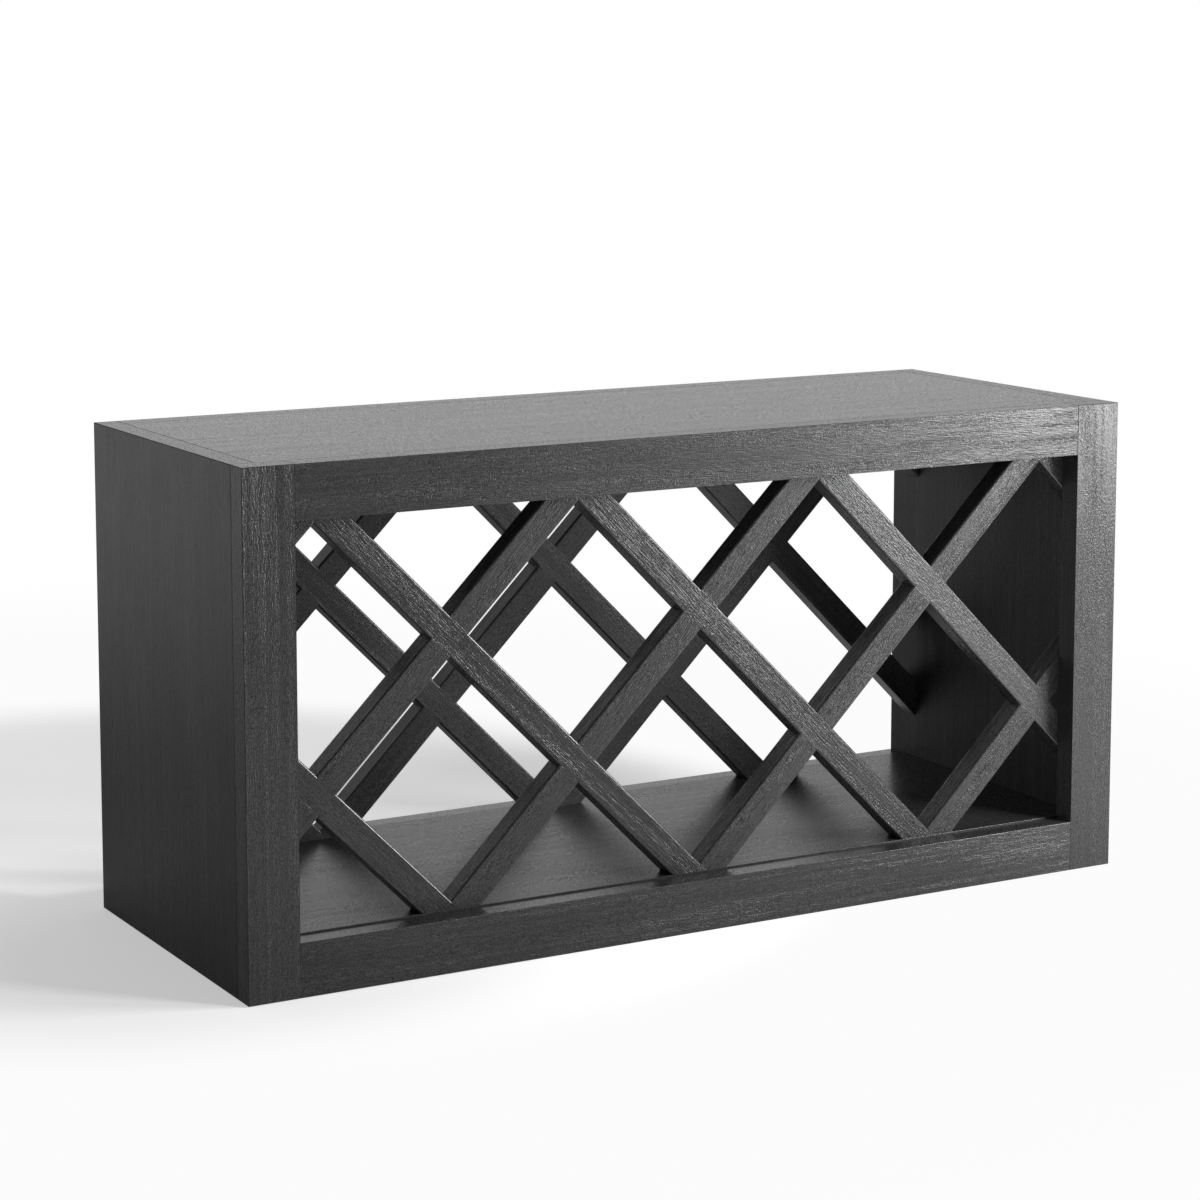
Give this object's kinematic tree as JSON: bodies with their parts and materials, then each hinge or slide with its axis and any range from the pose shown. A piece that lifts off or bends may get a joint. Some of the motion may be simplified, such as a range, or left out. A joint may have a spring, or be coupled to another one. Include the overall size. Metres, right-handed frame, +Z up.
{
  "type": "wall wine rack",
  "caption": "Open framed wall cabinet whose front and rear lattices of crossed diagonal slats form diamond cells that hold wine bottles lying down.",
  "frame": {"origin": "middle of the underside, at the centre of the overall width and depth", "axes": "+X to the right seen from the front, +Y to the wall behind, +Z up"},
  "size_m": [0.762, 0.2858, 0.381],
  "materials": {
    "frame_wood": "black-stained open-pore oak, satin",
    "panel_wood": "black-stained oak veneer, satin",
    "slat_wood": "black-stained open-pore oak, satin",
    "dowel_wood": "plain beech dowel",
    "brad_steel": "bright steel brad"
  },
  "bodies": {
    "root": {"left_stile": "frame_wood", "right_stile": "frame_wood", "top_rail": "frame_wood", "bottom_rail": "frame_wood", "left_side_panel": "panel_wood", "right_side_panel": "panel_wood", "top_panel": "panel_wood", "bottom_panel": "panel_wood", "rear_top_rail": "panel_wood", "rear_bottom_rail": "panel_wood", "front_falling_slat_left_2": "slat_wood", "front_falling_slat_left_1": "slat_wood", "front_falling_slat_middle": "slat_wood", "front_falling_slat_right_1": "slat_wood", "front_falling_slat_right_2": "slat_wood", "front_rising_slat_left_2": "slat_wood", "front_rising_slat_left_1": "slat_wood", "front_rising_slat_middle": "slat_wood", "front_rising_slat_right_1": "slat_wood", "front_rising_slat_right_2": "slat_wood", "rear_falling_slat_left_2": "slat_wood", "rear_falling_slat_left_1": "slat_wood", "rear_falling_slat_middle": "slat_wood", "rear_falling_slat_right_1": "slat_wood", "rear_falling_slat_right_2": "slat_wood", "rear_rising_slat_left_2": "slat_wood", "rear_rising_slat_left_1": "slat_wood", "rear_rising_slat_middle": "slat_wood", "rear_rising_slat_right_1": "slat_wood", "rear_rising_slat_right_2": "slat_wood", "face_frame_dowels": "dowel_wood", "stile_dowels": "dowel_wood", "front_rail_dowels": "dowel_wood", "top_panel_dowels": "dowel_wood", "bottom_panel_dowels": "dowel_wood", "rear_rail_end_dowels": "dowel_wood", "rear_rail_edge_dowels": "dowel_wood", "front_lattice_brads": "brad_steel", "rear_lattice_brads": "brad_steel"}
  },
  "joints": []
}
